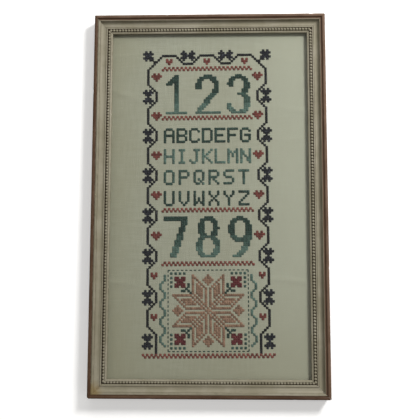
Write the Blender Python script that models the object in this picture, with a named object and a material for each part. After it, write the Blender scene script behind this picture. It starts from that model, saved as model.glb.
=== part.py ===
"""A cross stitch sampler in its painted wooden picture frame, lying on its back.

Metres, +Z up. The frame's back is on z = 0, its face looks up, the sampler's top edge is towards +Y,
and the origin is the middle of the back.

The frame is four rails of one moulding, mitred at the corners. A rebate under the rails' inner lip holds
the glass, the stitched linen and the board that the linen is stretched on.
"""

from collections import namedtuple
from math import cos, exp, pi, radians, sin, sqrt

import bmesh
import bpy

# The frame's outside, from the sampler's stitch count
FRAME_WIDTH = 0.252
FRAME_HEIGHT = 0.412
RAIL_WIDTH = 0.0192

# Clearance between pieces that touch
PLAY = 0.0003
# How far a mitred end stops short along its rail, so that two mitre faces are PLAY apart
MITRE_PLAY = PLAY / sqrt(2)

# The moulding's heights above the back
CAP_HEIGHT = 0.0190
CAP_SHOULDER = 0.0176
FILLET_HEIGHT = 0.0179
COVE_START_HEIGHT = 0.0156
COVE_FLOOR_HEIGHT = 0.0120
COVE_END_HEIGHT = 0.0127
GROOVE_HEIGHT = 0.0117
INNER_FILLET_HEIGHT = 0.0126
LIP_HEIGHT = 0.0122

# The moulding's widths, from the outer edge inwards
CAP_WIDTH = 0.0036
QUIRK_WIDTH = 0.0004
FILLET_WIDTH = 0.0015
FILLET_FALL = 0.0002
STEP_WIDTH = 0.0003
COVE_WIDTH = 0.0066
COVE_FLOOR_SHARE = 0.68
INNER_FILLET_WIDTH = 0.0007
BEAD_WIDTH = 0.0026
LIP_ROUND = 0.0007

# How many flats each rounded stretch of the moulding has, and the angle that still looks smooth
CAP_STEPS = 8
COVE_STEPS = 7
BEAD_STEPS = 6
LIP_STEPS = 3
SMOOTH_ANGLE = radians(35)

# The rebate and what lies in it, from the glass down to the board
REBATE_WIDTH = 0.0050
GLASS_THICKNESS = 0.0020
CLOTH_THICKNESS = 0.0010
CLOTH_RISE = 0.0003
BOARD_THICKNESS = 0.0031
BOARD_RECESS = 0.0020
SIDE_PLAY = 0.0005

CLOTH_BOTTOM = BOARD_RECESS + BOARD_THICKNESS + PLAY
GLASS_BOTTOM = CLOTH_BOTTOM + CLOTH_THICKNESS + CLOTH_RISE + PLAY
REBATE_DEPTH = GLASS_BOTTOM + GLASS_THICKNESS + PLAY

# The size of what lies in the rebate
FILLING_WIDTH = FRAME_WIDTH - 2 * (RAIL_WIDTH - REBATE_WIDTH + SIDE_PLAY)
FILLING_HEIGHT = FRAME_HEIGHT - 2 * (RAIL_WIDTH - REBATE_WIDTH + SIDE_PLAY)

# The sheet is meshed in cells of about this size
CLOTH_CELL = 0.013

# Faint creases that are left in the linen from folding, as low ridges with a middle, a half length, a
# half width across, a height as a share of CLOTH_RISE, and a turn from the X axis in degrees
Crease = namedtuple("Crease", "x y half_length half_width share turn")
CREASES = (
    Crease(-0.085, 0.149, 0.045, 0.012, 0.7, 4),
    Crease(-0.085, 0.117, 0.040, 0.012, 0.8, -5),
    Crease(0.082, 0.154, 0.045, 0.012, 0.8, 5),
    Crease(0.085, 0.100, 0.040, 0.012, 0.6, -8),
    Crease(0.070, -0.089, 0.055, 0.014, 1.0, 14),
    Crease(-0.080, -0.060, 0.040, 0.014, 0.5, -6),
)


def clear_scene():
    for thing in list(bpy.data.objects):
        bpy.data.objects.remove(thing)


def make_material(name, colour, roughness, transmission=0.0):
    material = bpy.data.materials.new(name)
    material.use_nodes = True
    shader = material.node_tree.nodes["Principled BSDF"]
    shader.inputs["Base Color"].default_value = (*colour, 1.0)
    shader.inputs["Roughness"].default_value = roughness
    shader.inputs["Metallic"].default_value = 0.0
    shader.inputs["Transmission Weight"].default_value = transmission
    material.diffuse_color = (*colour, 1.0)
    return material


def painted_wood():
    return make_material("painted_wood", (0.24, 0.22, 0.17), 0.55)


def picture_glass():
    return make_material("picture_glass", (0.95, 0.97, 0.96), 0.02, transmission=1.0)


def linen():
    return make_material("linen", (0.27, 0.275, 0.215), 0.9)


def hardboard():
    return make_material("hardboard", (0.30, 0.21, 0.13), 0.85)


def add_object(name, shape, material):
    """An object from a bmesh, which is used up."""
    mesh = bpy.data.meshes.new(name)
    shape.to_mesh(mesh)
    shape.free()
    mesh.materials.append(material)
    thing = bpy.data.objects.new(name, mesh)
    bpy.context.collection.objects.link(thing)
    return thing


def arc(middle, radii, start, end, steps):
    """Points on an ellipse from one angle to another, in degrees, without the first one."""
    points = []
    for step in range(1, steps + 1):
        angle = radians(start + (end - start) * step / steps)
        points.append((middle[0] + radii[0] * cos(angle), middle[1] + radii[1] * sin(angle)))
    return points


def moulding_section():
    """The moulding's section as (distance in from the outer edge, height above the back)."""
    fillet_start = CAP_WIDTH + QUIRK_WIDTH
    fillet_end = fillet_start + FILLET_WIDTH
    cove_start = fillet_end + STEP_WIDTH
    cove_end = cove_start + COVE_WIDTH
    inner_fillet_start = cove_end + QUIRK_WIDTH
    bead_start = inner_fillet_start + INNER_FILLET_WIDTH
    bead_end = bead_start + BEAD_WIDTH

    # The rounded cap along the outer edge
    points = [(0.0, 0.0), (0.0, CAP_SHOULDER)]
    cap_radii = (CAP_WIDTH / 2, CAP_HEIGHT - CAP_SHOULDER)
    points += arc((CAP_WIDTH / 2, CAP_SHOULDER), cap_radii, 180, 0, CAP_STEPS)

    # A quirk, a narrow fillet and the step down into the cove
    points += [
        (fillet_start - QUIRK_WIDTH / 2, CAP_SHOULDER - QUIRK_WIDTH),
        (fillet_start, FILLET_HEIGHT),
        (fillet_end, FILLET_HEIGHT - FILLET_FALL),
        (cove_start, COVE_START_HEIGHT),
    ]

    # The cove falls steeply, flattens and rises a little again
    cove_floor = cove_start + COVE_WIDTH * COVE_FLOOR_SHARE
    cove_radii = (cove_floor - cove_start, COVE_START_HEIGHT - COVE_FLOOR_HEIGHT)
    points += arc((cove_floor, COVE_START_HEIGHT), cove_radii, 180, 270, COVE_STEPS)
    points += [(cove_end, COVE_END_HEIGHT)]

    # A second quirk, the inner fillet and the half round that is carved into beads
    points += [
        (cove_end + QUIRK_WIDTH / 2, GROOVE_HEIGHT),
        (inner_fillet_start, INNER_FILLET_HEIGHT),
        (bead_start, INNER_FILLET_HEIGHT),
        (bead_start, GROOVE_HEIGHT),
    ]
    bead_radius = BEAD_WIDTH / 2
    points += arc((bead_start + bead_radius, GROOVE_HEIGHT), (bead_radius, bead_radius), 180, 0, BEAD_STEPS)

    # The lip over the glass, then the rebate under it
    lip_end = RAIL_WIDTH - LIP_ROUND
    points += [(bead_end + QUIRK_WIDTH, LIP_HEIGHT), (lip_end, LIP_HEIGHT)]
    points += arc((lip_end, LIP_HEIGHT - LIP_ROUND), (LIP_ROUND, LIP_ROUND), 90, 0, LIP_STEPS)
    points += [
        (RAIL_WIDTH, REBATE_DEPTH),
        (RAIL_WIDTH - REBATE_WIDTH, REBATE_DEPTH),
        (RAIL_WIDTH - REBATE_WIDTH, 0.0),
    ]
    return points


def make_rail(name, length, distance, turn):
    """One mitred rail, whose outer edge is that distance from the middle and faces -Y before its turn."""
    section = moulding_section()
    shape = bmesh.new()
    ends = []
    for side in (-1, 1):
        ends.append(
            [
                shape.verts.new((side * (length / 2 - inset - MITRE_PLAY), inset, height))
                for inset, height in section
            ]
        )
    left = shape.faces.new(ends[0])
    right = shape.faces.new(ends[1])
    bmesh.ops.bridge_loops(shape, edges=list(left.edges) + list(right.edges))
    bmesh.ops.recalc_face_normals(shape, faces=shape.faces)
    rail = add_object(name, shape, painted_wood())
    rail.data.shade_smooth()
    rail.data.set_sharp_from_angle(angle=SMOOTH_ANGLE)
    rail.location = (distance * sin(turn), -distance * cos(turn), 0.0)
    rail.rotation_euler.z = turn


def make_slab(name, bottom, thickness, material):
    """A flat rectangle that fills the rebate, with its lower face at bottom."""
    shape = bmesh.new()
    bmesh.ops.create_cube(shape, size=1.0)
    bmesh.ops.scale(shape, vec=(FILLING_WIDTH, FILLING_HEIGHT, thickness), verts=shape.verts)
    slab = add_object(name, shape, material)
    slab.location.z = bottom + thickness / 2


def crease_height(x, y):
    """How far the linen stands proud of its plane at a point, from all its creases."""
    share = 0.0
    for crease in CREASES:
        turn = radians(crease.turn)
        along = (x - crease.x) * cos(turn) + (y - crease.y) * sin(turn)
        across = (y - crease.y) * cos(turn) - (x - crease.x) * sin(turn)
        share += crease.share * exp(-((along / crease.half_length) ** 2) - (across / crease.half_width) ** 2)
    return CLOTH_RISE * min(share, 1.0)


def make_cloth():
    """The linen: one sheet of even thickness, flat but for its creases."""
    shape = bmesh.new()
    columns = round(FILLING_WIDTH / CLOTH_CELL)
    rows = round(FILLING_HEIGHT / CLOTH_CELL)
    bmesh.ops.create_grid(shape, x_segments=columns, y_segments=rows, size=0.5)
    bmesh.ops.scale(shape, vec=(FILLING_WIDTH, FILLING_HEIGHT, 1.0), verts=shape.verts)
    for point in shape.verts:
        point.co.z = crease_height(point.co.x, point.co.y)
    cloth = add_object("sampler_cloth", shape, linen())
    cloth.data.shade_smooth()
    cloth.location.z = CLOTH_BOTTOM
    thickness = cloth.modifiers.new("thickness", "SOLIDIFY")
    thickness.thickness = CLOTH_THICKNESS
    thickness.offset = 1.0


def main():
    clear_scene()
    make_rail("rail_bottom", FRAME_WIDTH, FRAME_HEIGHT / 2, 0.0)
    make_rail("rail_right", FRAME_HEIGHT, FRAME_WIDTH / 2, pi / 2)
    make_rail("rail_top", FRAME_WIDTH, FRAME_HEIGHT / 2, pi)
    make_rail("rail_left", FRAME_HEIGHT, FRAME_WIDTH / 2, -pi / 2)
    make_slab("glass_pane", GLASS_BOTTOM, GLASS_THICKNESS, picture_glass())
    make_cloth()
    make_slab("backing_board", BOARD_RECESS, BOARD_THICKNESS, hardboard())


main()
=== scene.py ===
"""Dresses the framed cross stitch sampler: the painted moulding with its beads, the glass, the linen,
every cross stitch as two crossed threads, the board behind, and a plain stage.

Metres, +Z up, with the sampler lying on its back and its top edge towards +Y.
"""

import random
from collections import namedtuple
from math import cos, exp, pi, radians, sin, sqrt

import bmesh
import bpy
import numpy
from bpy.props import FloatProperty, FloatVectorProperty, IntProperty, PointerProperty
from mathutils import Matrix, Vector, noise


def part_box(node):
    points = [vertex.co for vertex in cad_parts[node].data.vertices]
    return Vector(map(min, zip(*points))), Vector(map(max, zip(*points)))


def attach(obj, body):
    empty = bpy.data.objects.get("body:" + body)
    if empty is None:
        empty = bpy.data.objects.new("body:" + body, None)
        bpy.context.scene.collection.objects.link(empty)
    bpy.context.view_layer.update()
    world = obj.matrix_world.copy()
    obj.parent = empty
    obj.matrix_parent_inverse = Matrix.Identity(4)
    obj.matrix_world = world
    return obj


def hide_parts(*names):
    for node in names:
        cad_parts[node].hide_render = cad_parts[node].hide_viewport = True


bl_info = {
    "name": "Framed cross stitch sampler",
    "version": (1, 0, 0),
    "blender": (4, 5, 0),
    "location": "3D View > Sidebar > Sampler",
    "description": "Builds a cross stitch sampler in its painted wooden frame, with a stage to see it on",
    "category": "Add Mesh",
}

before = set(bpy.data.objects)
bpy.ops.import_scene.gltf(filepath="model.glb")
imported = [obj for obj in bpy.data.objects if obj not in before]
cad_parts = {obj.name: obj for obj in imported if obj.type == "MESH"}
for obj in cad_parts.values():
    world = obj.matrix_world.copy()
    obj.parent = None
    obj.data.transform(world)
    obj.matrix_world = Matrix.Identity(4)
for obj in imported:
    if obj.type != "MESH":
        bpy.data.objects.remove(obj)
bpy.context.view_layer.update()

# Boxes of the solids that the pieces here stand for
FRAME_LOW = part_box("rail_left")[0]
FRAME_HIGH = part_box("rail_right")[1]
FRAME_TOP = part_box("rail_top")[1]
LINEN_LOW, LINEN_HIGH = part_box("sampler_cloth")


def shade(red, green, blue):
    """A colour given as it looks on a screen, 0 to 255, as the linear values that shaders use."""
    linear = []
    for part in (red, green, blue):
        share = part / 255
        linear.append(share / 12.92 if share <= 0.04045 else ((share + 0.055) / 1.055) ** 2.4)
    return tuple(linear)


def size(name, description, default, low=0.0):
    """A length that a user may change, in metres."""
    return FloatProperty(
        name=name, description=description, default=default, min=low, precision=5, unit="LENGTH"
    )


def colour(name, description, screen):
    """A colour that a user may change, from its screen values."""
    return FloatVectorProperty(
        name=name, description=description, default=shade(*screen), size=3, min=0.0, max=1.0, subtype="COLOR"
    )


# Settings


class FrameSettings(bpy.types.PropertyGroup):
    width: size("Width", "Outside width of the frame", FRAME_HIGH.x - FRAME_LOW.x)
    height: size("Height", "Outside height of the frame", FRAME_TOP.y * 2)
    mitre_gap: size("Mitre gap", "Width of the fine line where two rails meet", 0.00016)
    corner_round: size("Corner wear", "Radius that the outer corners are worn to", 0.0017)
    station: size("Cut length", "Length of one cut along a rail, for its unevenness", 0.0025, 0.0005)
    unevenness: size("Unevenness", "How far the old edges wander", 0.00012)
    bead_pitch: size("Bead pitch", "Distance from one carved bead to the next", 0.0033, 0.001)
    paint: colour("Paint", "Old cream paint on the face of the moulding", (141, 136, 118))
    paint_light: colour("Worn paint", "Paint where it has rubbed pale", (156, 150, 134))
    paint_dark: colour("Soiled paint", "Paint where it has darkened", (118, 112, 90))
    stain: colour("Stain", "Brown stain along the outer edge", (77, 55, 36))
    stain_light: colour("Worn stain", "Stain where it has rubbed pale", (125, 103, 87))
    stain_dark: colour("Dark stain", "Stain where it is thick", (56, 35, 22))
    drip: colour("Old varnish", "Yellow brown varnish that has run at one corner", (128, 108, 66))
    glaze: colour("Glaze", "Dark glaze left in the hollows", (58, 45, 29))
    wood: colour("Bare wood", "Unpainted wood at the back", (168, 134, 96))


class LinenSettings(bpy.types.PropertyGroup):
    thickness: size("Thickness", "Thickness of the linen", 0.0007)
    thread: size("Thread pitch", "Distance between two threads of the weave", 0.0011525)
    rise: size("Crease height", "Height of the faint creases", 0.0006)
    cell: size("Cell", "Size of the cells that the sheet is meshed in", 0.0016, 0.001)
    base: colour("Linen", "Colour of the linen", (161, 161, 146))
    light: colour("Pale thread", "Colour of the paler threads", (171, 171, 156))
    dark: colour("Dark thread", "Colour of the darker threads", (128, 127, 109))
    stain: colour("Yellowing", "Colour of the soft stains", (144, 138, 112))


class StitchSettings(bpy.types.PropertyGroup):
    pitch: size("Stitch", "Width of one cross stitch", 0.002305, 0.001)
    thread_width: size("Thread width", "Width of the floss that makes one leg", 0.0018)
    thread_thickness: size("Thread thickness", "Thickness of the floss that makes one leg", 0.00036)
    middle_x: size("Middle across", "How far the stitching lies off the middle of the linen", -0.0018, -0.1)
    middle_y: size("Middle along", "How far up the linen the middle of the stitching lies", 0.0019, -0.1)
    turn: FloatProperty(
        name="Turn",
        description="How far the stitching is turned on the linen",
        default=radians(0.47),
        unit="ROTATION",
    )
    seed: IntProperty(name="Seed", description="Another number gives other small irregularities", default=7)
    navy: colour("Navy", "Ribbon of the border", (17, 18, 21))
    indigo: colour("Indigo", "Rosettes of the border", (23, 24, 31))
    red: colour("Red", "Check bands", (112, 62, 55))
    heart: colour("Heart red", "Hearts", (101, 52, 47))
    wine: colour("Wine", "Corner flowers of the star", (82, 33, 35))
    pine: colour("Pine", "Darkest green", (38, 56, 50))
    sage: colour("Sage", "Middle green", (57, 77, 70))
    teal: colour("Teal", "Palest green", (79, 100, 92))
    rose: colour("Rose", "Star", (130, 101, 84))
    blush: colour("Blush", "Middles of the star's petals", (138, 110, 92))


class BackSettings(bpy.types.PropertyGroup):
    board: colour("Board", "Hardboard behind the linen", (140, 108, 76))
    board_dark: colour("Board fibres", "Darker fibres in the hardboard", (104, 76, 52))


class StageSettings(bpy.types.PropertyGroup):
    key: FloatProperty(name="Key light", description="Strength of the main light", default=14.7, unit="POWER")
    top: FloatProperty(name="Top light", description="Strength of the broad light", default=8.0, unit="POWER")
    fill: FloatProperty(name="Fill light", description="Strength of the soft fill", default=5.0, unit="POWER")
    sky: FloatProperty(name="Sky", description="Strength of the light from all round", default=0.18)
    floor: colour("Floor", "Plain pale floor", (244, 244, 244))
    glow: FloatProperty(name="Floor glow", description="How much the floor lights itself", default=0.34)
    lens: FloatProperty(name="Lens", description="Focal length for a 36 mm wide sensor", default=60.25)


# Nodes


class Graph:
    """Adds and joins the nodes of one tree."""

    def __init__(self, tree):
        self.tree = tree

    def add(self, kind, **settings):
        node = self.tree.nodes.new(kind)
        for name, value in settings.items():
            setattr(node, name, value)
        return node

    def feed(self, socket, value):
        """Links a socket, or sets it where the value is a plain number, colour or vector."""
        if isinstance(value, bpy.types.NodeSocket):
            self.tree.links.new(value, socket)
        elif hasattr(value, "__len__") and socket.type == "RGBA" and len(value) == 3:
            socket.default_value = (*value, 1.0)
        else:
            socket.default_value = value

    def math(self, operation, *values, clamp=False):
        node = self.add("ShaderNodeMath", operation=operation, use_clamp=clamp)
        for socket, value in zip(node.inputs, values):
            self.feed(socket, value)
        return node.outputs[0]

    def times(self, first, second):
        return self.math("MULTIPLY", first, second)

    def plus(self, first, second):
        return self.math("ADD", first, second)

    def minus(self, first, second):
        return self.math("SUBTRACT", first, second)

    def times_plus(self, first, second, third, clamp=False):
        return self.math("MULTIPLY_ADD", first, second, third, clamp=clamp)

    def scaled(self, vector, factor):
        node = self.add("ShaderNodeVectorMath", operation="SCALE")
        self.feed(node.inputs[0], vector)
        self.feed(node.inputs["Scale"], factor)
        return node.outputs[0]

    def split(self, vector):
        node = self.add("ShaderNodeSeparateXYZ")
        self.feed(node.inputs[0], vector)
        return node.outputs[0], node.outputs[1], node.outputs[2]

    def join(self, x, y, z):
        node = self.add("ShaderNodeCombineXYZ")
        for socket, value in zip(node.inputs, (x, y, z)):
            self.feed(socket, value)
        return node.outputs[0]

    def attribute(self, name, output="Fac"):
        return self.add("ShaderNodeAttribute", attribute_name=name).outputs[output]

    def object_place(self):
        return self.add("ShaderNodeTexCoord").outputs["Object"]

    def noise(self, place, scale, detail=3.0, roughness=0.55, distortion=0.0):
        node = self.add("ShaderNodeTexNoise")
        self.feed(node.inputs["Vector"], place)
        wanted = {"Scale": scale, "Detail": detail, "Roughness": roughness, "Distortion": distortion}
        for name, value in wanted.items():
            self.feed(node.inputs[name], value)
        return node.outputs["Fac"]

    def ramp(self, value, low, high, start=0.0, end=1.0):
        """A smooth change from start to end while the value goes from low to high."""
        node = self.add("ShaderNodeMapRange", interpolation_type="SMOOTHSTEP")
        for socket, entry in zip(node.inputs, (value, low, high, start, end)):
            self.feed(socket, entry)
        return node.outputs["Result"]

    def mix(self, share, first, second, kind="MIX"):
        node = self.add("ShaderNodeMix", data_type="RGBA", blend_type=kind)
        self.feed(node.inputs["Factor"], share)
        self.feed(node.inputs["A_Color"] if "A_Color" in node.inputs else node.inputs[6], first)
        self.feed(node.inputs["B_Color"] if "B_Color" in node.inputs else node.inputs[7], second)
        return node.outputs[2]

    def bump(self, height, distance, strength=1.0):
        node = self.add("ShaderNodeBump")
        self.feed(node.inputs["Height"], height)
        node.inputs["Distance"].default_value = distance
        node.inputs["Strength"].default_value = strength
        return node.outputs["Normal"]

    def group(self, name, **inputs):
        """Places a shared group, and gives its outputs by name."""
        node = self.add("ShaderNodeGroup", node_tree=bpy.data.node_groups[name])
        for key, value in inputs.items():
            self.feed(node.inputs[key.replace("_", " ")], value)
        return node.outputs


SOCKETS = {"value": "NodeSocketFloat", "place": "NodeSocketVector", "colour": "NodeSocketColor"}


def new_group(name, inputs, outputs):
    """A shader group with named sockets, as (graph, input sockets, output node)."""
    tree = bpy.data.node_groups.new(name, "ShaderNodeTree")
    for socket, kind, default in inputs:
        made = tree.interface.new_socket(name=socket, in_out="INPUT", socket_type=SOCKETS[kind])
        if default is not None:
            made.default_value = default
    for socket, kind in outputs:
        tree.interface.new_socket(name=socket, in_out="OUTPUT", socket_type=SOCKETS[kind])
    graph = Graph(tree)
    return graph, graph.add("NodeGroupInput").outputs, graph.add("NodeGroupOutput")


def new_material(name):
    """A material with its Principled shader, as (material, graph, shader)."""
    material = bpy.data.materials.new(name)
    material.use_nodes = True
    return material, Graph(material.node_tree), material.node_tree.nodes["Principled BSDF"]


def settle(shader, **values):
    """Sets plain values on a shader, by socket names with _ for each space."""
    for name, value in values.items():
        shader.inputs[name.replace("_", " ")].default_value = value


def make_weave_group():
    """Plain weave of slightly uneven threads, with the holes between them."""
    graph, given, result = new_group(
        "plain_weave",
        [("Place", "place", None), ("Pitch", "value", 0.001), ("Waver", "value", 0.3)],
        [("Height", "value"), ("Hole", "value"), ("Thread tone", "value")],
    )
    place, pitch, waver = given["Place"], given["Pitch"], given["Waver"]
    threads = graph.scaled(place, graph.math("DIVIDE", 1.0, pitch))
    x, y, _ = graph.split(threads)
    drift_x = graph.times(graph.minus(graph.noise(place, 130.0, 2.0), 0.5), waver)
    drift_y = graph.times(graph.minus(graph.noise(place, 150.0, 2.0, 0.6), 0.5), waver)
    x = graph.plus(x, drift_x)
    y = graph.plus(y, drift_y)
    across = graph.math("SINE", graph.times(x, pi))
    down = graph.math("SINE", graph.times(y, pi))
    over = graph.times(across, down)
    warp_round = graph.math("POWER", graph.math("ABSOLUTE", across), 0.6)
    weft_round = graph.math("POWER", graph.math("ABSOLUTE", down), 0.6)
    warp = graph.times(warp_round, graph.times_plus(over, 0.3, 0.7))
    weft = graph.times(weft_round, graph.times_plus(over, -0.3, 0.7))
    graph.feed(result.inputs["Height"], graph.math("MAXIMUM", warp, weft))
    graph.feed(result.inputs["Hole"], graph.ramp(graph.math("MAXIMUM", warp_round, weft_round), 0.72, 0.42))
    # One tone for each thread, changing slowly along it
    warp_tone = graph.noise(graph.join(graph.math("FLOOR", x), graph.times(y, 0.06), 0.0), 0.83, 1.0)
    weft_tone = graph.noise(graph.join(graph.times(x, 0.06), graph.math("FLOOR", y), 7.3), 0.83, 1.0)
    on_top = graph.ramp(over, -0.1, 0.1)
    warp_share = graph.times(warp_tone, on_top)
    weft_share = graph.times(weft_tone, graph.minus(1.0, on_top))
    graph.feed(result.inputs["Thread tone"], graph.plus(warp_share, weft_share))


def make_age_group():
    """Uneven ageing: wide soft patches, drawn out streaks and small specks."""
    graph, given, result = new_group(
        "ageing",
        [
            ("Place", "place", None),
            ("Patch scale", "value", 30.0),
            ("Streak scale", "value", 300.0),
            ("Streak stretch", "value", 0.06),
            ("Speck scale", "value", 900.0),
        ],
        [("Patch", "value"), ("Streak", "value"), ("Speck", "value")],
    )
    place = given["Place"]
    x, y, z = graph.split(place)
    drawn = graph.join(graph.times(x, given["Streak stretch"]), y, z)
    patch = graph.noise(place, given["Patch scale"], 4.0, 0.6)
    streak = graph.noise(drawn, given["Streak scale"], 3.0, 0.6)
    speck = graph.noise(place, given["Speck scale"], 2.0, 0.7)
    graph.feed(result.inputs["Patch"], graph.ramp(patch, 0.32, 0.68))
    graph.feed(result.inputs["Streak"], graph.ramp(streak, 0.3, 0.7))
    graph.feed(result.inputs["Speck"], graph.ramp(speck, 0.66, 0.74))


def make_grain_group():
    """Wood grain along X: wide bands, fine pores and a height for the bump."""
    graph, given, result = new_group(
        "wood_grain",
        [("Place", "place", None), ("Scale", "value", 260.0), ("Stretch", "value", 0.05)],
        [("Grain", "value"), ("Pore", "value"), ("Height", "value")],
    )
    x, y, z = graph.split(given["Place"])
    drawn = graph.join(graph.times(x, given["Stretch"]), y, z)
    grain = graph.noise(drawn, given["Scale"], 4.0, 0.65, 0.6)
    fine = graph.times(given["Scale"], 6.0)
    pore = graph.ramp(graph.noise(drawn, fine, 2.0, 0.6), 0.60, 0.72)
    graph.feed(result.inputs["Grain"], graph.ramp(grain, 0.3, 0.7))
    graph.feed(result.inputs["Pore"], pore)
    graph.feed(result.inputs["Height"], graph.minus(grain, graph.times(pore, 0.4)))


def make_floss_group():
    """Two loosely twisted strands, from the leg's own coordinates: along, around and one number a leg."""
    graph, given, result = new_group(
        "floss_twist",
        [("Thread", "place", None), ("Twist", "value", 9000.0)],
        [("Tone", "value"), ("Fibre", "value"), ("Height", "value")],
    )
    along, around, number = graph.split(given["Thread"])
    turn = graph.times(along, given["Twist"])
    twist = graph.math("SINE", graph.plus(turn, around))
    hair_place = graph.join(
        graph.times(along, 1400.0), graph.times(around, 1.6), graph.times(number, 31.0)
    )
    hair = graph.noise(hair_place, 2.2, 2.0, 0.6)
    graph.feed(result.inputs["Tone"], number)
    graph.feed(result.inputs["Fibre"], hair)
    graph.feed(result.inputs["Height"], graph.plus(graph.times(twist, 0.5), hair))


# Materials


# Where old varnish has run, at the lower left corner
VARNISH_PLACE = (-0.1195, -0.1990, 0.0165)


def frame_finish(looks):
    """Cream paint with glaze in its hollows, a brown outer edge, and bare wood behind, with painted light and
    shade: darkening on faces turned from the light, paler stain on the top and right rails, and a brown edge
    widened by the cap's shadow.
    """
    material, graph, shader = new_material("frame_finish")
    place = graph.attribute("moulding", "Vector")
    hollow = graph.attribute("hollow")
    bare = graph.attribute("bare")
    _, inset, height = graph.split(place)
    age = graph.group("ageing", Place=place, Patch_scale=38.0, Streak_scale=520.0, Streak_stretch=0.035)
    grain = graph.group("wood_grain", Place=place, Scale=420.0, Stretch=0.03)
    wander = graph.noise(place, 260.0, 3.0)

    # Paint, worn pale in streaks and soiled in patches, then darkened by the glaze mark: real glaze in its
    # hollows, and painted shade on faces turned from the light
    paint = graph.mix(age["Streak"], looks.paint, looks.paint_light)
    paint = graph.mix(graph.times(age["Patch"], 0.55), paint, looks.paint_dark)
    soiling_and_shade = graph.ramp(graph.times_plus(wander, 0.5, hollow), 0.30, 0.95)
    paint = graph.mix(graph.times(soiling_and_shade, 0.92), paint, looks.glaze)
    paint = graph.mix(graph.times(age["Speck"], 0.45), paint, looks.stain)

    # Varnish at the lower left corner
    from_corner = graph.add("ShaderNodeVectorMath", operation="DISTANCE")
    graph.feed(from_corner.inputs[0], graph.object_place())
    from_corner.inputs[1].default_value = VARNISH_PLACE
    near = graph.times_plus(wander, 0.010, from_corner.outputs["Value"])
    paint = graph.mix(graph.ramp(near, 0.007, 0.018, 0.75, 0.0), paint, looks.drip)

    # Stain, darker in its pores and paler where hands have worn the ridge, and paler all over on the top and
    # right rails as a painted highlight where the light falls
    stain = graph.mix(grain["Grain"], looks.stain, looks.stain_dark)
    rub = graph.ramp(graph.times_plus(wander, 0.0012, height), 0.0188, 0.0198)
    rub = graph.times(rub, graph.ramp(age["Patch"], 0.0, 0.8, 0.45, 1.0))
    # This paleness is part wear and part a painted highlight on the top and right rails
    rubbed = graph.attribute("rubbed")
    worn = graph.times_plus(age["Patch"], 0.12, graph.times(rubbed, 0.5))
    stain = graph.mix(worn, stain, looks.stain_light)
    rub = graph.times(rub, graph.times_plus(rubbed, 0.8, 0.2))
    stain = graph.mix(rub, stain, looks.stain_light)
    stain = graph.mix(graph.times(grain["Pore"], 0.5), stain, looks.stain_dark)

    # The brown edge reaches further in on the top and right rails, a painted shadow of the raised cap over
    # the fillet
    edge = graph.times_plus(graph.minus(wander, 0.5), 0.0006, graph.attribute("stained"))
    face = graph.mix(graph.ramp(edge, 0.0, 0.0003), stain, paint)
    wood = graph.mix(grain["Grain"], looks.wood, looks.stain_light)
    wood = graph.mix(graph.times(grain["Pore"], 0.4), wood, looks.stain)
    graph.feed(shader.inputs["Base Color"], graph.mix(graph.ramp(bare, 0.4, 0.6), face, wood))

    rough = graph.times_plus(age["Streak"], 0.14, 0.52)
    graph.feed(shader.inputs["Roughness"], graph.times_plus(soiling_and_shade, 0.12, rough, clamp=True))
    relief = graph.plus(grain["Height"], graph.times(age["Streak"], 0.5))
    relief = graph.minus(relief, graph.times(age["Speck"], 0.3))
    graph.feed(shader.inputs["Normal"], graph.bump(relief, 0.00012, 0.6))
    settle(shader, Specular_IOR_Level=0.14)
    return material


def glass():
    """Clear picture glass, which lets the lamps through to the linen."""
    material, graph, shader = new_material("clear_glass")
    settle(
        shader,
        Base_Color=(0.97, 0.985, 0.975, 1.0),
        Roughness=0.015,
        IOR=1.48,
        Specular_IOR_Level=0.2,
        Transmission_Weight=1.0,
    )
    # Lamps and light from the linen itself go straight through, so that the linen isn't lit twice
    clear = graph.add("ShaderNodeBsdfTransparent")
    clear.inputs["Color"].default_value = (0.95, 0.96, 0.95, 1.0)
    path = graph.add("ShaderNodeLightPath")
    seen = shader.outputs[0]
    for ray in ("Is Shadow Ray", "Is Diffuse Ray"):
        choice = graph.add("ShaderNodeMixShader")
        graph.feed(choice.inputs[0], path.outputs[ray])
        graph.feed(choice.inputs[1], seen)
        graph.feed(choice.inputs[2], clear.outputs[0])
        seen = choice.outputs[0]
    graph.feed(material.node_tree.nodes["Material Output"].inputs["Surface"], seen)
    return material


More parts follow.
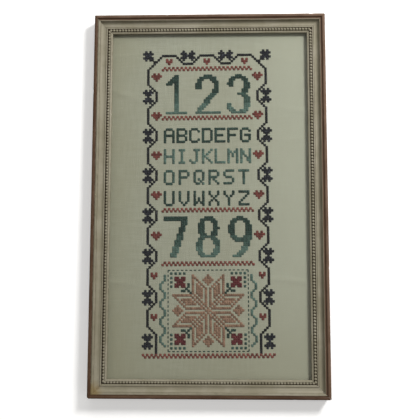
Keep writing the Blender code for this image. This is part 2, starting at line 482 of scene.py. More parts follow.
def linen_cloth(looks, turn):
    """Even weave linen with uneven threads and soft yellowing, and painted light that makes it paler to the
    right and darker along the left.
    """
    material, graph, shader = new_material("linen_cloth")
    placed = graph.add("ShaderNodeMapping", vector_type="POINT")
    graph.feed(placed.inputs["Vector"], graph.object_place())
    placed.inputs["Rotation"].default_value = (0.0, 0.0, -turn)
    place = placed.outputs[0]
    weave = graph.group("plain_weave", Place=place, Pitch=looks.thread, Waver=0.35)
    age = graph.group(
        "ageing", Place=place, Patch_scale=13.0, Streak_scale=240.0, Streak_stretch=0.05, Speck_scale=700.0
    )
    cloth = graph.mix(graph.ramp(weave["Thread tone"], 0.3, 0.7), looks.dark, looks.light)
    cloth = graph.mix(0.7, cloth, looks.base)
    cloth = graph.mix(graph.times(age["Patch"], 0.14), cloth, looks.stain)
    # The linen is paler along its right side, as painted light, and darker along its left side, partly as
    # painted shade; it is also yellower and darker towards the bottom
    across, along, _ = graph.split(place)
    side = graph.times_plus(graph.noise(place, 30.0, 3.0), 0.012, across)
    cloth = graph.mix(graph.ramp(side, -0.110, -0.050, 0.40, 0.0), cloth, looks.stain)
    cloth = graph.mix(graph.ramp(side, 0.02, 0.115, 0.0, 0.7), cloth, looks.light)
    cloth = graph.mix(graph.ramp(along, -0.06, -0.19, 0.0, 0.3), cloth, looks.stain)
    cloth = graph.mix(graph.times(weave["Hole"], 0.55), cloth, looks.dark)
    cloth = graph.mix(graph.times(age["Speck"], 0.16), cloth, looks.stain)
    graph.feed(shader.inputs["Base Color"], cloth)
    fuzz = graph.noise(place, 5200.0, 2.0)
    relief = graph.times_plus(fuzz, 0.22, weave["Height"])
    graph.feed(shader.inputs["Normal"], graph.bump(relief, 0.00016, 0.55))
    settle(shader, Roughness=0.92, Specular_IOR_Level=0.15, Sheen_Weight=0.08)
    return material


def floss(name, tint):
    """Cotton floss of one colour, each leg with a tone of its own."""
    material, graph, shader = new_material("floss_" + name)
    thread = graph.attribute("thread", "Vector")
    twist = graph.group("floss_twist", Thread=thread, Twist=9000.0)
    deep = tuple(part * 0.62 for part in tint)
    pale = tuple(min(part * 1.3 + 0.002, 1.0) for part in tint)
    tone = graph.times_plus(twist["Fibre"], 0.5, graph.times(twist["Tone"], 0.4))
    graph.feed(shader.inputs["Base Color"], graph.mix(graph.ramp(tone, 0.15, 0.75), deep, pale))
    graph.feed(shader.inputs["Normal"], graph.bump(twist["Height"], 0.00006, 0.6))
    settle(shader, Roughness=0.7, Specular_IOR_Level=0.12)
    return material


def hardboard(looks):
    """Brown hardboard with matted fibres."""
    material, graph, shader = new_material("brown_hardboard")
    place = graph.object_place()
    age = graph.group("ageing", Place=place, Patch_scale=16.0, Streak_scale=420.0, Streak_stretch=0.4)
    grain = graph.group("wood_grain", Place=place, Scale=700.0, Stretch=0.5)
    face = graph.mix(graph.times(age["Patch"], 0.5), looks.board, looks.board_dark)
    face = graph.mix(graph.times(grain["Grain"], 0.35), face, looks.board_dark)
    face = graph.mix(graph.times(age["Speck"], 0.4), face, looks.board_dark)
    graph.feed(shader.inputs["Base Color"], face)
    graph.feed(shader.inputs["Normal"], graph.bump(grain["Height"], 0.0001, 0.5))
    settle(shader, Roughness=0.85)
    return material


# The moulding's section, from the outer edge inwards. Its glaze and shade value says how much glaze a point
# holds, with painted shade added on faces turned from the light, and bare says that it was never painted.
Mark = namedtuple("Mark", "inset height hollow bare", defaults=(0.0, 0.0))
Nick = namedtuple("Nick", "rail along inset half_length depth")

CAP_HEIGHT = 0.0190
CAP_SHOULDER = 0.0176
CAP_WIDTH = 0.0037
QUIRK_WIDTH = 0.00035
QUIRK_HEIGHT = 0.01685
FILLET_WIDTH = 0.00185
FILLET_HEIGHT = 0.0170
FILLET_FALL = 0.0003
STEP_WIDTH = 0.0004
COVE_START_HEIGHT = 0.0152
COVE_FLOOR_HEIGHT = 0.0120
COVE_END_HEIGHT = 0.0122
COVE_WIDTH = 0.0055
COVE_FLOOR_SHARE = 0.74
INNER_FILLET_WIDTH = 0.00125
INNER_FILLET_HEIGHT = 0.0125
GROOVE_HEIGHT = 0.0113
BEAD_WIDTH = 0.0039
BEAD_HALF_WIDTH = 0.00155
BEAD_RISE = 0.0019
BEAD_SLANT = radians(20)
LEDGE_HEIGHT = 0.0118
LIP_HEIGHT = 0.0125
LIP_EDGE_HEIGHT = 0.0119
LIP_ROUND = 0.0005
RAIL_WIDTH = 0.0192
REBATE_WIDTH = 0.0050
REBATE_DEPTH = 0.0093
EDGE_SOFTNESS = 0.00016
BACK_SOFTNESS = 0.0004

# Dents and chips, with a rail, a place along it from its middle and in from its edge
NICKS = (
    Nick("top", -0.111, 0.0003, 0.0016, 0.0005),
    Nick("top", 0.046, 0.0002, 0.0012, 0.0003),
    Nick("right", 0.163, 0.0042, 0.0013, 0.0006),
    Nick("right", -0.071, 0.0002, 0.0015, 0.0003),
    Nick("left", 0.016, 0.0034, 0.0011, 0.0004),
    Nick("left", -0.120, 0.0002, 0.0018, 0.0004),
    Nick("bottom", -0.062, 0.0003, 0.0016, 0.0004),
    Nick("bottom", 0.088, 0.0002, 0.0011, 0.0003),
)

# A rail: its length, its outer edge's distance from the middle and its turn, then how pale its stain is made,
# by wear and by a painted highlight, how far old paint has filled its bead channel, and how far in its brown
# reaches, as stain and as painted shadow of the cap
Rail = namedtuple("Rail", "name length distance turn number rubbed filled stained")


def arc(middle, radii, start, end, steps, hollow=0.0):
    """Marks on an ellipse from one angle to another, in degrees."""
    marks = []
    for step in range(steps + 1):
        angle = radians(start + (end - start) * step / steps)
        marks.append(Mark(middle[0] + radii[0] * cos(angle), middle[1] + radii[1] * sin(angle), hollow))
    return marks


def soft_corner(inset, height, start, end, hollow=0.0):
    """A small round on a ridge of the moulding, whose middle is given."""
    return arc((inset, height), (EDGE_SOFTNESS, EDGE_SOFTNESS), start, end, 2, hollow)


def moulding_section(filled):
    """The whole section as marks, in order round it.

    Old paint may fill the inner side of the bead channel, which then starts further in by the distance
    filled. That is 0 where the channel is open.
    """
    fillet_start = CAP_WIDTH + QUIRK_WIDTH
    fillet_end = fillet_start + FILLET_WIDTH
    cove_start = fillet_end + STEP_WIDTH
    cove_end = cove_start + COVE_WIDTH
    cove_floor = cove_start + COVE_WIDTH * COVE_FLOOR_SHARE
    inner_start = cove_end + QUIRK_WIDTH
    bead_start = inner_start + INNER_FILLET_WIDTH
    bead_end = bead_start + BEAD_WIDTH
    bead_start += filled
    ledge_height = LEDGE_HEIGHT if filled else GROOVE_HEIGHT
    # The channel's inner ledge is darkened strongly on the open top and right rails and lightly on the filled
    # ones: real glaze, strengthened as painted shade on the side turned from the light
    ledge_glaze_shade = (0.3, 0.2) if filled else (0.8, 0.85)
    lip_end = RAIL_WIDTH - LIP_ROUND
    soft = EDGE_SOFTNESS
    rebate = RAIL_WIDTH - REBATE_WIDTH

    marks = [Mark(BACK_SOFTNESS, 0.0, 0.0, 1.0), Mark(0.0, BACK_SOFTNESS), Mark(0.0, 0.006), Mark(0.0, 0.012)]
    marks += arc((CAP_WIDTH / 2, CAP_SHOULDER), (CAP_WIDTH / 2, CAP_HEIGHT - CAP_SHOULDER), 180, 0, 14)
    marks += [
        Mark(CAP_WIDTH + 0.00005, QUIRK_HEIGHT, 0.6),
        Mark(fillet_start - 0.00005, QUIRK_HEIGHT, 0.6),
    ]
    marks += soft_corner(fillet_start + soft, FILLET_HEIGHT - soft, 180, 90, 0.15)
    marks += soft_corner(fillet_end - soft, FILLET_HEIGHT - FILLET_FALL - soft, 90, 20, 0.1)
    marks += [Mark(cove_start - 0.00008, COVE_START_HEIGHT + 0.0005, 0.2)]
    cove_radii = (cove_floor - cove_start, COVE_START_HEIGHT - COVE_FLOOR_HEIGHT)
    marks += [Mark(cove_start, COVE_START_HEIGHT, 0.6)]
    marks += [m._replace(hollow=max(0.22 - 0.12 * n, 0.0)) for n, m in
              enumerate(arc((cove_floor, COVE_START_HEIGHT), cove_radii, 185, 270, 12))]
    marks += [Mark(cove_end - 0.0008, COVE_END_HEIGHT - 0.0001), Mark(cove_end, COVE_END_HEIGHT, 0.1)]
    marks += [
        Mark(cove_end + 0.00008, INNER_FILLET_HEIGHT - 0.0005, 0.8),
        Mark(inner_start - 0.00008, INNER_FILLET_HEIGHT - 0.0005, 0.8),
    ]
    marks += soft_corner(inner_start + soft, INNER_FILLET_HEIGHT - soft, 180, 90)
    marks += soft_corner(bead_start - soft, INNER_FILLET_HEIGHT - soft, 90, 0)
    marks += [
        Mark(bead_start + 0.00005, GROOVE_HEIGHT, 0.75),
        Mark(bead_start + 0.4 * BEAD_WIDTH, GROOVE_HEIGHT, 0.72),
        Mark(bead_start + 0.52 * BEAD_WIDTH, ledge_height, ledge_glaze_shade[0]),
        Mark(bead_end - 0.00005, ledge_height, ledge_glaze_shade[1]),
        Mark(bead_end, LIP_HEIGHT - 0.0003, 0.3),
        Mark(bead_end + 0.0002, LIP_HEIGHT, 0.1),
    ]
    marks += arc((lip_end, LIP_EDGE_HEIGHT - LIP_ROUND), (LIP_ROUND, LIP_ROUND), 72, 0, 6)
    # The lip's inner face is darkened down to the rebate, as painted shade where that face is turned from the
    # light
    marks += [
        Mark(RAIL_WIDTH, REBATE_DEPTH + 0.0002, 0.5),
        Mark(RAIL_WIDTH - 0.0002, REBATE_DEPTH, 0.3, 1.0),
        Mark(rebate, REBATE_DEPTH, 0.0, 1.0),
        Mark(rebate, BACK_SOFTNESS, 0.0, 1.0),
        Mark(rebate - BACK_SOFTNESS, 0.0, 0.0, 1.0),
    ]
    return marks


# Distances from a rail's end at which it is cut for its worn corner
CLOSE_CUTS = (0.0003, 0.0007, 0.0012, 0.0018, 0.0025, 0.0033)


def stations(half_length, step):
    """Shares of a rail's half length at which it is cut, closer together at the ends."""
    count = round(2 * half_length / step)
    inner = [-1 + 2 * n / count for n in range(1, count)]
    close = [distance / half_length for distance in CLOSE_CUTS]
    ends = [-1.0] + [share - 1 for share in close]
    inner = [share for share in inner if abs(share) < 1 - close[-1] * 1.3]
    return ends + inner + [-share for share in reversed(ends)]


def only(kind, geometry):
    return [item for item in geometry if isinstance(item, kind)]


# Keeps the wander of the old edges the same each time
WEAR_SEED = 5

# How far each corner of the frame is worn, as a share of the corner wear, by a rail and its end
CORNER_WEAR = {("bottom", -1): 1.8, ("left", 1): 1.8, ("right", 1): 1.2, ("top", -1): 1.2}
PLAIN_CORNER = 0.7


def wear(point, rail, looks):
    """Moves a point of a straight rail as old edges wear: they wander, are nicked, and round at corners."""
    high = max(0.0, (point.z - 0.012) / 0.007)
    spot = Vector((point.x * 55 + rail.number * 9, point.y * 160, point.z * 160))
    drift = noise.noise_vector(spot) * looks.unevenness * high
    point.y += drift.y if point.y > 0.0001 else abs(drift.y)
    point.z += drift.z * 0.6
    for nick in NICKS:
        if nick.rail != rail.name or point.z < 0.0165:
            continue
        along = (point.x - nick.along) / nick.half_length
        across = (point.y - nick.inset) / 0.0012
        share = exp(-along * along - across * across)
        point.z -= nick.depth * share
        if point.y < CAP_WIDTH / 2:
            point.y += nick.depth * share * 0.7
    # The outer corner, seen from above
    side = 1 if point.x > 0 else -1
    radius = looks.corner_round * CORNER_WEAR.get((rail.name, side), PLAIN_CORNER)
    from_middle = Vector((abs(point.x) - (rail.length / 2 - radius), point.y - radius))
    if from_middle.x > 0 and from_middle.y < 0 and from_middle.length > radius:
        from_middle *= radius / from_middle.length
        point.x = side * (from_middle.x + rail.length / 2 - radius)
        point.y = from_middle.y + radius


def mesh_of(name, shape):
    """A mesh from a bmesh, which is used up."""
    mesh = bpy.data.meshes.new(name)
    shape.to_mesh(mesh)
    shape.free()
    return mesh


def draw_out(shape, end, cuts, stretch=1.0):
    """Draws a face out along X, past a row of cuts."""
    for before, after in zip(cuts, cuts[1:]):
        grown = bmesh.ops.extrude_face_region(shape, geom=[end])["geom"]
        step = ((after - before) * stretch, 0, 0)
        bmesh.ops.translate(shape, verts=only(bmesh.types.BMVert, grown), vec=step)
        end = only(bmesh.types.BMFace, grown)[0]


def bead_mesh():
    """One carved bead: the upper part of a ball, closed below."""
    shape = bmesh.new()
    bmesh.ops.create_uvsphere(shape, u_segments=12, v_segments=8, radius=1.0)
    cut = bmesh.ops.bisect_plane(
        shape, geom=list(shape.verts) + list(shape.edges) + list(shape.faces), dist=1e-5,
        plane_co=(0, 0, -0.12), plane_no=(0, 0, -1), clear_outer=True,
    )
    bmesh.ops.holes_fill(shape, edges=only(bmesh.types.BMEdge, cut["geom_cut"]), sides=0)
    bmesh.ops.recalc_face_normals(shape, faces=shape.faces)
    return mesh_of("bead", shape)


def add_beads(shape, rail, looks, moulding, hollow, stained):
    """Sets a row of beads in the channel along a straight rail."""
    inset = CAP_WIDTH + QUIRK_WIDTH + FILLET_WIDTH + STEP_WIDTH + COVE_WIDTH + QUIRK_WIDTH
    inset += INNER_FILLET_WIDTH
    inset += BEAD_WIDTH / 2 + rail.filled / 2
    reach = rail.length / 2 - inset
    count = round(2 * reach / looks.bead_pitch)
    pitch = 2 * reach / count
    chance = random.Random(40 + rail.number)
    bead = bead_mesh()
    for number in range(count):
        x = -reach + pitch * (number + 0.5)
        swell = chance.uniform(0.94, 1.05)
        rise = BEAD_RISE * chance.uniform(0.92, 1.04)
        size_here = Matrix.Diagonal((pitch * 0.49 * swell, BEAD_HALF_WIDTH, rise, 1.0))
        slant = Matrix.Rotation(BEAD_SLANT + chance.uniform(-0.08, 0.08), 4, "Z")
        lift = Matrix.Translation((x, inset + chance.uniform(-0.00006, 0.00006), GROOVE_HEIGHT))
        one = bead.copy()
        one.transform(lift @ slant @ size_here)
        first = len(shape.verts)
        shape.from_mesh(one)
        bpy.data.meshes.remove(one)
        shape.verts.ensure_lookup_table()
        for point in shape.verts[first:]:
            point[moulding] = (point.co.x + rail.number, point.co.y, point.co.z)
            # The glaze lies low on each bead. Where paint has filled the channel, on the bottom and left
            # rails, it also lies on the bead's outer side, which is painted shade on the side turned from the
            # light
            inwards = (point.co.y - inset) / BEAD_HALF_WIDTH
            crest = (point.co.z - GROOVE_HEIGHT) / BEAD_RISE
            bead_glaze_shade = 0.58 - 0.4 * inwards - 0.4 * crest if rail.filled else 0.8 - 1.6 * crest
            point[hollow] = min(max(bead_glaze_shade, 0.05), 1.0)
            point[stained] = BEAD_WIDTH
    bpy.data.meshes.remove(bead)


def add_piece(name, shape, material, replaced=()):
    """A finished piece in the row's frame, from a bmesh, which is used up."""
    mesh = mesh_of(name, shape)
    mesh.materials.append(material)
    piece = bpy.data.objects.new(name, mesh)
    bpy.context.scene.collection.objects.link(piece)
    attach(piece, "root")
    if replaced:
        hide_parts(*replaced)
    return piece


def make_moulding(rail, looks, material):
    """One mitred rail: its section is drawn out along X, worn, beaded and turned into place."""
    shape = bmesh.new()
    moulding = shape.verts.layers.float_vector.new("moulding")
    hollow = shape.verts.layers.float.new("hollow")
    bare = shape.verts.layers.float.new("bare")
    rubbed = shape.verts.layers.float.new("rubbed")
    stained = shape.verts.layers.float.new("stained")
    cuts = stations(rail.length / 2, looks.station)
    ring = []
    for mark in moulding_section(rail.filled):
        point = shape.verts.new((cuts[0], mark.inset, mark.height))
        point[hollow] = mark.hollow
        point[bare] = mark.bare
        ring.append(point)
    draw_out(shape, shape.faces.new(ring), cuts)
    for point in shape.verts:
        point.co.x *= rail.length / 2 - point.co.y - looks.mitre_gap / sqrt(2)
        point[moulding] = (point.co.x + rail.number, point.co.y, point.co.z)
        point[rubbed] = rail.rubbed
        point[stained] = point.co.y - rail.stained
        wear(point.co, rail, looks)
    bmesh.ops.recalc_face_normals(shape, faces=shape.faces)
    add_beads(shape, rail, looks, moulding, hollow, stained)
    place = Matrix.Rotation(rail.turn, 4, "Z") @ Matrix.Translation((0, -rail.distance, 0))
    bmesh.ops.transform(shape, matrix=place, verts=shape.verts)
    piece = add_piece("moulding_" + rail.name, shape, material, ["rail_" + rail.name])
    piece.data.shade_smooth()
    piece.data.set_sharp_from_angle(angle=radians(38))
    return piece


# Faint creases left in the linen from folding, as low ridges
Crease = namedtuple("Crease", "x y half_length half_width share turn")
CREASES = (
    Crease(-0.085, 0.149, 0.045, 0.012, 0.18, 4),
    Crease(0.085, 0.100, 0.040, 0.012, 0.15, -8),
    Crease(0.070, -0.089, 0.055, 0.014, 0.2, 14),
    Crease(-0.080, -0.060, 0.040, 0.014, 0.12, -6),
    Crease(-0.096, 0.120, 0.024, 0.0032, 0.65, -18),
    Crease(-0.096, 0.163, 0.018, 0.0034, 0.4, 2),
    Crease(-0.096, -0.087, 0.022, 0.0032, 0.65, -2),
    Crease(0.094, 0.101, 0.024, 0.0032, 0.65, -6),
    Crease(0.094, 0.068, 0.020, 0.0034, 0.45, 2),
    Crease(0.084, 0.158, 0.026, 0.0038, 0.4, -8),
    Crease(0.056, -0.078, 0.013, 0.0030, 0.45, -22),
    Crease(0.090, -0.084, 0.024, 0.0028, 0.78, -5),
)


def linen_rise(x, y, looks):
    """How far the linen stands above its plane at a point."""
    share = 0.0
    for crease in CREASES:
        turn = radians(crease.turn)
        along = (x - crease.x) * cos(turn) + (y - crease.y) * sin(turn)
        across = (y - crease.y) * cos(turn) - (x - crease.x) * sin(turn)
        share += crease.share * exp(-((along / crease.half_length) ** 2) - (across / crease.half_width) ** 2)
    ripple = 0.08 + 0.08 * noise.noise(Vector((x * 34, y * 22, 0.4)))
    return looks.rise * min(share + ripple, 1.0)


# The chart: cells of (column, row) with the name of their floss
COLUMNS = 61
MIDDLE_COLUMN = 30
MIDDLE_ROW = 72

ROSETTE = ".X.X. XXXXX .XXX. XXXXX .X.X."
TULIPS_TALL = ".X.X. XXXXX .XXX. ..X.. .XXX. XXXXX .X.X."
TULIPS_WIDE = ".X...X. XXX.XXX .XXXXX. XXX.XXX .X...X."
HEART = ".X.X. XXXXX .XXX. ..X.."
SMALL_HEART = "X.X XXX .X."
CORNER_FLOWER = "XX.XX XXXXX .XXX. XXXXX XX.XX"

LETTERS = {
    "A": ".XXX. X...X X...X XXXXX X...X X...X X...X",
    "B": "XXXX. X...X X...X XXXX. X...X X...X XXXX.",
    "C": ".XXX. X...X X.... X.... X.... X...X .XXX.",
    "D": "XXXX. X...X X...X X...X X...X X...X XXXX.",
    "E": "XXXXX X.... X.... XXXX. X.... X.... XXXXX",
    "F": "XXXXX X.... X.... XXXX. X.... X.... X....",
    "G": ".XXX. X...X X.... X.XXX X...X X...X .XXX.",
    "H": "X...X X...X X...X XXXXX X...X X...X X...X",
    "I": ".XXX. ..X.. ..X.. ..X.. ..X.. ..X.. .XXX.",
    "J": "..XXX ...X. ...X. ...X. ...X. X..X. .XX..",
    "K": "X...X X..X. X.X.. XX... X.X.. X..X. X...X",
    "L": "X.... X.... X.... X.... X.... X.... XXXXX",
    "M": "X...X XX.XX X.X.X X.X.X X...X X...X X...X",
    "N": "X...X XX..X XX..X X.X.X X..XX X..XX X...X",
    "O": ".XXX. X...X X...X X...X X...X X...X .XXX.",
    "P": "XXXX. X...X X...X XXXX. X.... X.... X....",
    "Q": ".XXX. X...X X...X X...X X.X.X X..X. .XX.X",
    "R": "XXXX. X...X X...X XXXX. X.X.. X..X. X...X",
    "S": ".XXXX X.... X.... .XXX. ....X ....X XXXX.",
    "T": "XXXXX ..X.. ..X.. ..X.. ..X.. ..X.. ..X..",
    "U": "X...X X...X X...X X...X X...X X...X .XXX.",
    "V": "X...X X...X X...X X...X X...X .X.X. ..X..",
    "W": "X...X X...X X...X X.X.X X.X.X XX.XX X...X",
    "X": "X...X X...X .X.X. ..X.. .X.X. X...X X...X",
    "Y": "X...X X...X .X.X. ..X.. ..X.. ..X.. ..X..",
    "Z": "XXXXX ....X ...X. ..X.. .X... X.... XXXXX",
}

# A row of the alphabet: its letters, its first column and row, the step to the next letter, its floss
Line = namedtuple("Line", "letters column row step floss")
LINES = (
    Line("ABCDEFG", 10, 38, 6, "pine"),
    Line("HIJKLMN", 10, 48, 6, "teal"),
    Line("OPQRST", 10, 58, 7, "sage"),
    Line("UVWXYZ", 10, 68, 7, "pine"),
)

# Strokes of the large numerals in a box 11 wide and 19 tall, rows counted down. A bow is part of an
# ellipse between two angles, and a bar is straight.
Bow = namedtuple("Bow", "x y half_width half_height start end")
Bar = namedtuple("Bar", "x y end_x end_y")
NUMERALS = {
    "1": (Bar(5.5, 0.5, 5.5, 17.5), Bar(2.2, 4.0, 5.5, 0.5), Bar(2.0, 18, 9.0, 18)),
    "2": (Bow(5.3, 5.2, 4.2, 4.8, 190, -28), Bar(8.9, 7.6, 1.2, 17.4), Bar(1.2, 18, 10, 18)),
    "3": (Bow(5.0, 4.8, 3.8, 4.4, 175, -70), Bow(4.8, 13.4, 4.5, 4.7, 75, -165)),
    "7": (Bar(0.8, 0.5, 9.8, 0.5), Bar(9.6, 1.0, 4.0, 18)),
    "8": (Bow(5.2, 4.8, 3.5, 4.4, 0, 360), Bow(5.2, 13.5, 4.4, 4.7, 0, 360)),
    "9": (Bow(5.0, 5.6, 4.1, 5.1, 0, 360), Bow(2.2, 5.6, 6.9, 12.6, 0, -86)),
}
PEN_HALF_WIDTH = 1.35
PEN_HALF_HEIGHT = 0.75
NUMERAL_HEIGHT = 19

# Runs of the ribbon along the top: first column and row, step in columns and rows, and how many cells
TOP_RUNS = (
    (9, 2, (1, 0), 7),
    (27, 2, (1, 0), 4),
    (19, 6, (1, 0), 5),
    (16, 3, (1, 1), 3),
    (26, 3, (-1, 1), 3),
    (2, 9, (1, -1), 8),
    (4, 4, (1, 1), 2),
)

# Rows at which the side ribbons run along the outside, and rows at which they swing inwards
OUTER_RUNS = [(9 + 19 * n, 16 + 19 * n) for n in range(7)]
INNER_RUNS = [(20 + 19 * n, 24 + 19 * n) for n in range(6)]
TAIL_RUN = (134, 142)
BAND_ROWS = (8, 32, 76, 101)
BLOCK_MIDDLE = (30, 123)
BLOCK_HALF = 18


def put(chart, column, row, name):
    """Charts one cell, and the same cell from the right edge."""
    chart[(column, row)] = name
    chart[(COLUMNS - 1 - column, row)] = name


def run(chart, column, row, step, count):
    """Charts a straight run of the navy ribbon, from its first cell on."""
    for number in range(count):
        put(chart, column + step[0] * number, row + step[1] * number, "navy")


def motif(chart, pattern, column, row, name, both=True):
    """Charts a small pattern from its upper left cell."""
    for down, line in enumerate(pattern.split()):
        for across, cell in enumerate(line):
            if cell != "X":
                continue
            if both:
                put(chart, column + across, row + down, name)
            else:
                chart[(column + across, row + down)] = name


def chart_border(chart):
    """The navy ribbon that swings in and out along three sides, with rosettes in its hollows and hearts."""
    for column, row, step, count in TOP_RUNS:
        run(chart, column, row, step, count)
    for first, last in OUTER_RUNS:
        run(chart, 2, first, (0, 1), last + 1 - first)
        run(chart, 3, last + 1, (1, 1), 3)
    for first, last in INNER_RUNS:
        run(chart, 6, first, (0, 1), last + 1 - first)
        run(chart, 5, last + 1, (-1, 1), 3)
    run(chart, 6, TAIL_RUN[0], (0, 1), TAIL_RUN[1] + 1 - TAIL_RUN[0])
    motif(chart, ROSETTE, 0, 0, "indigo")
    motif(chart, TULIPS_WIDE, 18, 0, "indigo")
    for first, last in INNER_RUNS + [(135, 139)]:
        motif(chart, TULIPS_TALL, 0, first - 1, "indigo")
    for number, (first, _) in enumerate(OUTER_RUNS):
        motif(chart, HEART if number < 5 else SMALL_HEART, 4, first + 2, "heart")
    motif(chart, SMALL_HEART, 11, 4, "heart")
    motif(chart, SMALL_HEART, 29, 4, "heart", both=False)


def chart_bands(chart):
    """The red check bands between the fields, and the one that closes the bottom."""
    for row in BAND_ROWS:
        for column in range(9, 52):
            chart[(column, row + column % 2)] = "red"
    for column in range(COLUMNS):
        chart[(column, 143 + column % 2)] = "red"


def chart_numeral(chart, digit, column, row):
    """One large numeral, pine above, sage further down and teal below."""
    for stroke in NUMERALS[digit]:
        for step in range(121):
            share = step / 120
            if isinstance(stroke, Bow):
                angle = radians(stroke.start + (stroke.end - stroke.start) * share)
                x = stroke.x + stroke.half_width * cos(angle)
                y = stroke.y - stroke.half_height * sin(angle)
            else:
                x = stroke.x + (stroke.end_x - stroke.x) * share
                y = stroke.y + (stroke.end_y - stroke.y) * share
            for across in range(int(x) - 2, int(x) + 4):
                for down in range(int(y) - 2, int(y) + 4):
                    reach = ((across - x) / PEN_HALF_WIDTH) ** 2 + ((down - y) / PEN_HALF_HEIGHT) ** 2
                    if reach <= 1 and 0 <= down < NUMERAL_HEIGHT:
                        tone = "pine" if down < 9 else "sage" if down < 14 else "teal"
                        chart[(column + across, row + down)] = tone


def chart_words(chart):
    """The large numerals and the rows of the alphabet."""
    for digits, row in (("123", 12), ("789", 80)):
        for digit, middle in zip(digits, (15, 30, 45)):
            chart_numeral(chart, digit, middle - 5, row)
    for line in LINES:
        for number, letter in enumerate(line.letters):
            motif(chart, LETTERS[letter], line.column + line.step * number, line.row, line.floss, both=False)


def star_cell(across, down):
    """The floss of a cell of the star block, from its middle, or None where it is bare."""
    far, near = max(abs(across), abs(down)), min(abs(across), abs(down))
    if far == 0 or (far <= 1 and near == 0):
        return "blush"
    if 1 <= near <= 7 and 1 <= far - near <= 9:
        ring = min(near - 1, 7 - near, far - near - 1, 9 - far + near)
        return ("rose", None, "rose", "blush")[ring]
    if abs(far - 14) + near <= 2:
        return "rose"
    if far == 17 and near >= 10 and near % 2 == 1:
        return "sage"
    if far == near and far in (8, 9, 10):
        return "pine"
    if (far, near) in ((11, 9), (12, 9)):
        return "pine"
    return None


def chart_block(chart):
    """The eight pointed star with a flower in each corner, and a teal wave at either side."""
    middle_column, middle_row = BLOCK_MIDDLE
    for across in range(-BLOCK_HALF, BLOCK_HALF + 1):
        for down in range(-BLOCK_HALF, BLOCK_HALF + 1):
            name = star_cell(across, down)
            if name:
                chart[(middle_column + across, middle_row + down)] = name
    for row in (middle_row - 15, middle_row + 11):
        motif(chart, CORNER_FLOWER, middle_column - 15, row, "wine")
    for row in range(middle_row - 16, middle_row + 17):
        swing = (0, 0, 1, 2, 2, 2, 1, 0)[row % 8]
        put(chart, 8 + swing, row, "teal")


def whole_chart():
    chart = {}
    chart_border(chart)
    chart_bands(chart)
    chart_words(chart)
    chart_block(chart)
    return chart


# Where a leg is cut, as shares of its length, and how far legs stray in place, turn and width
LEG_CUTS = (-0.5, -0.36, 0.0, 0.36, 0.5)
LEG_STRAY = 0.00004
LEG_TURN_STRAY = radians(2.5)
DASH_TURN_STRAY = radians(2)
LEG_WIDTHS = (0.9, 1.08)


def leg_mesh(length, width, thickness, lift, name):
    """One leg of a stitch along X: two strands side by side that rise from the cloth and dive into it."""
    shape = bmesh.new()
    bmesh.ops.create_circle(shape, cap_ends=True, segments=8, radius=1.0)
    bmesh.ops.rotate(shape, cent=(0, 0, 0), matrix=Matrix.Rotation(pi / 2, 3, "Y"), verts=shape.verts)
    for point in shape.verts:
        # The middle of the upper side is drawn in, so that it reads as two strands
        furrow = 0.72 if abs(point.co.y) < 0.1 else 1.0
        point.co.y *= width / 2
        point.co.z *= thickness / 2 * furrow
    end = shape.faces[:][0]
    bmesh.ops.translate(shape, verts=shape.verts, vec=(LEG_CUTS[0] * length, 0, 0))
    draw_out(shape, end, LEG_CUTS, length)
    for point in shape.verts:
        share = abs(point.co.x) / (length / 2)
        point.co.y *= 1.0 - 0.2 * share ** 3
        point.co.z += lift * (1 - share ** 2) - thickness * 0.75 * share ** 6 + thickness * 0.30
    bmesh.ops.recalc_face_normals(shape, faces=shape.faces)
    mesh = mesh_of(name, shape)
    mesh.shade_smooth()
    return mesh


Leg = namedtuple("Leg", "mesh x y turn width")


def lay_legs(name, legs, material, cloth_top, linen_looks, chance):
    """Joins many legs into one piece, each on the linen with small irregularities and a tone of its own."""
    shape = bmesh.new()
    numbers = []
    for leg in legs:
        height = cloth_top + linen_rise(leg.x, leg.y, linen_looks)
        place = Matrix.Translation((leg.x, leg.y, height)) @ Matrix.Rotation(leg.turn, 4, "Z")
        one = leg.mesh.copy()
        one.transform(place @ Matrix.Diagonal((1.0, leg.width, 1.0, 1.0)))
        shape.from_mesh(one)
        bpy.data.meshes.remove(one)
        numbers.append(chance.random())
    piece = add_piece(name, shape, material)
    # Each leg's own coordinates for the twist of its strands
    count = len(legs[0].mesh.vertices)
    own = numpy.empty(count * 3)
    legs[0].mesh.vertices.foreach_get("co", own)
    own = own.reshape(-1, 3)
    thread = numpy.empty((len(legs) * count, 3))
    thread[:, 0] = numpy.tile(own[:, 0], len(legs))
    thread[:, 1] = numpy.tile(numpy.arctan2(own[:, 2], own[:, 1]), len(legs))
    thread[:, 2] = numpy.repeat(numbers, count)
    layer = piece.data.attributes.new("thread", "FLOAT_VECTOR", "POINT")
    layer.data.foreach_set("vector", thread.ravel())
    return piece


# Operators


class SAMPLER_OT_frame_rails(bpy.types.Operator):
    """Build the four mitred rails of the frame"""

    bl_idname = "sampler.frame_rails"
    bl_label = "Frame Rails"

    def execute(self, context):
        looks = context.scene.sampler_frame
        noise.seed_set(WEAR_SEED)
        material = frame_finish(looks)
        wide, long = looks.width, looks.height
        # The top and right rails get paler stain, a painted highlight, and a brown edge reaching further in,
        # a painted shadow of the cap, since the light falls from the top right
        for rail in (
            Rail("bottom", wide, long / 2, 0.0, 1, rubbed=0.0, filled=0.0009, stained=0.0039),
            Rail("right", long, wide / 2, pi / 2, 2, rubbed=0.55, filled=0.0, stained=0.0053),
            Rail("top", wide, long / 2, pi, 3, rubbed=0.6, filled=0.0, stained=0.0051),
            Rail("left", long, wide / 2, -pi / 2, 4, rubbed=0.0, filled=0.0001, stained=0.0035),
        ):
            make_moulding(rail, looks, material)
        return {"FINISHED"}


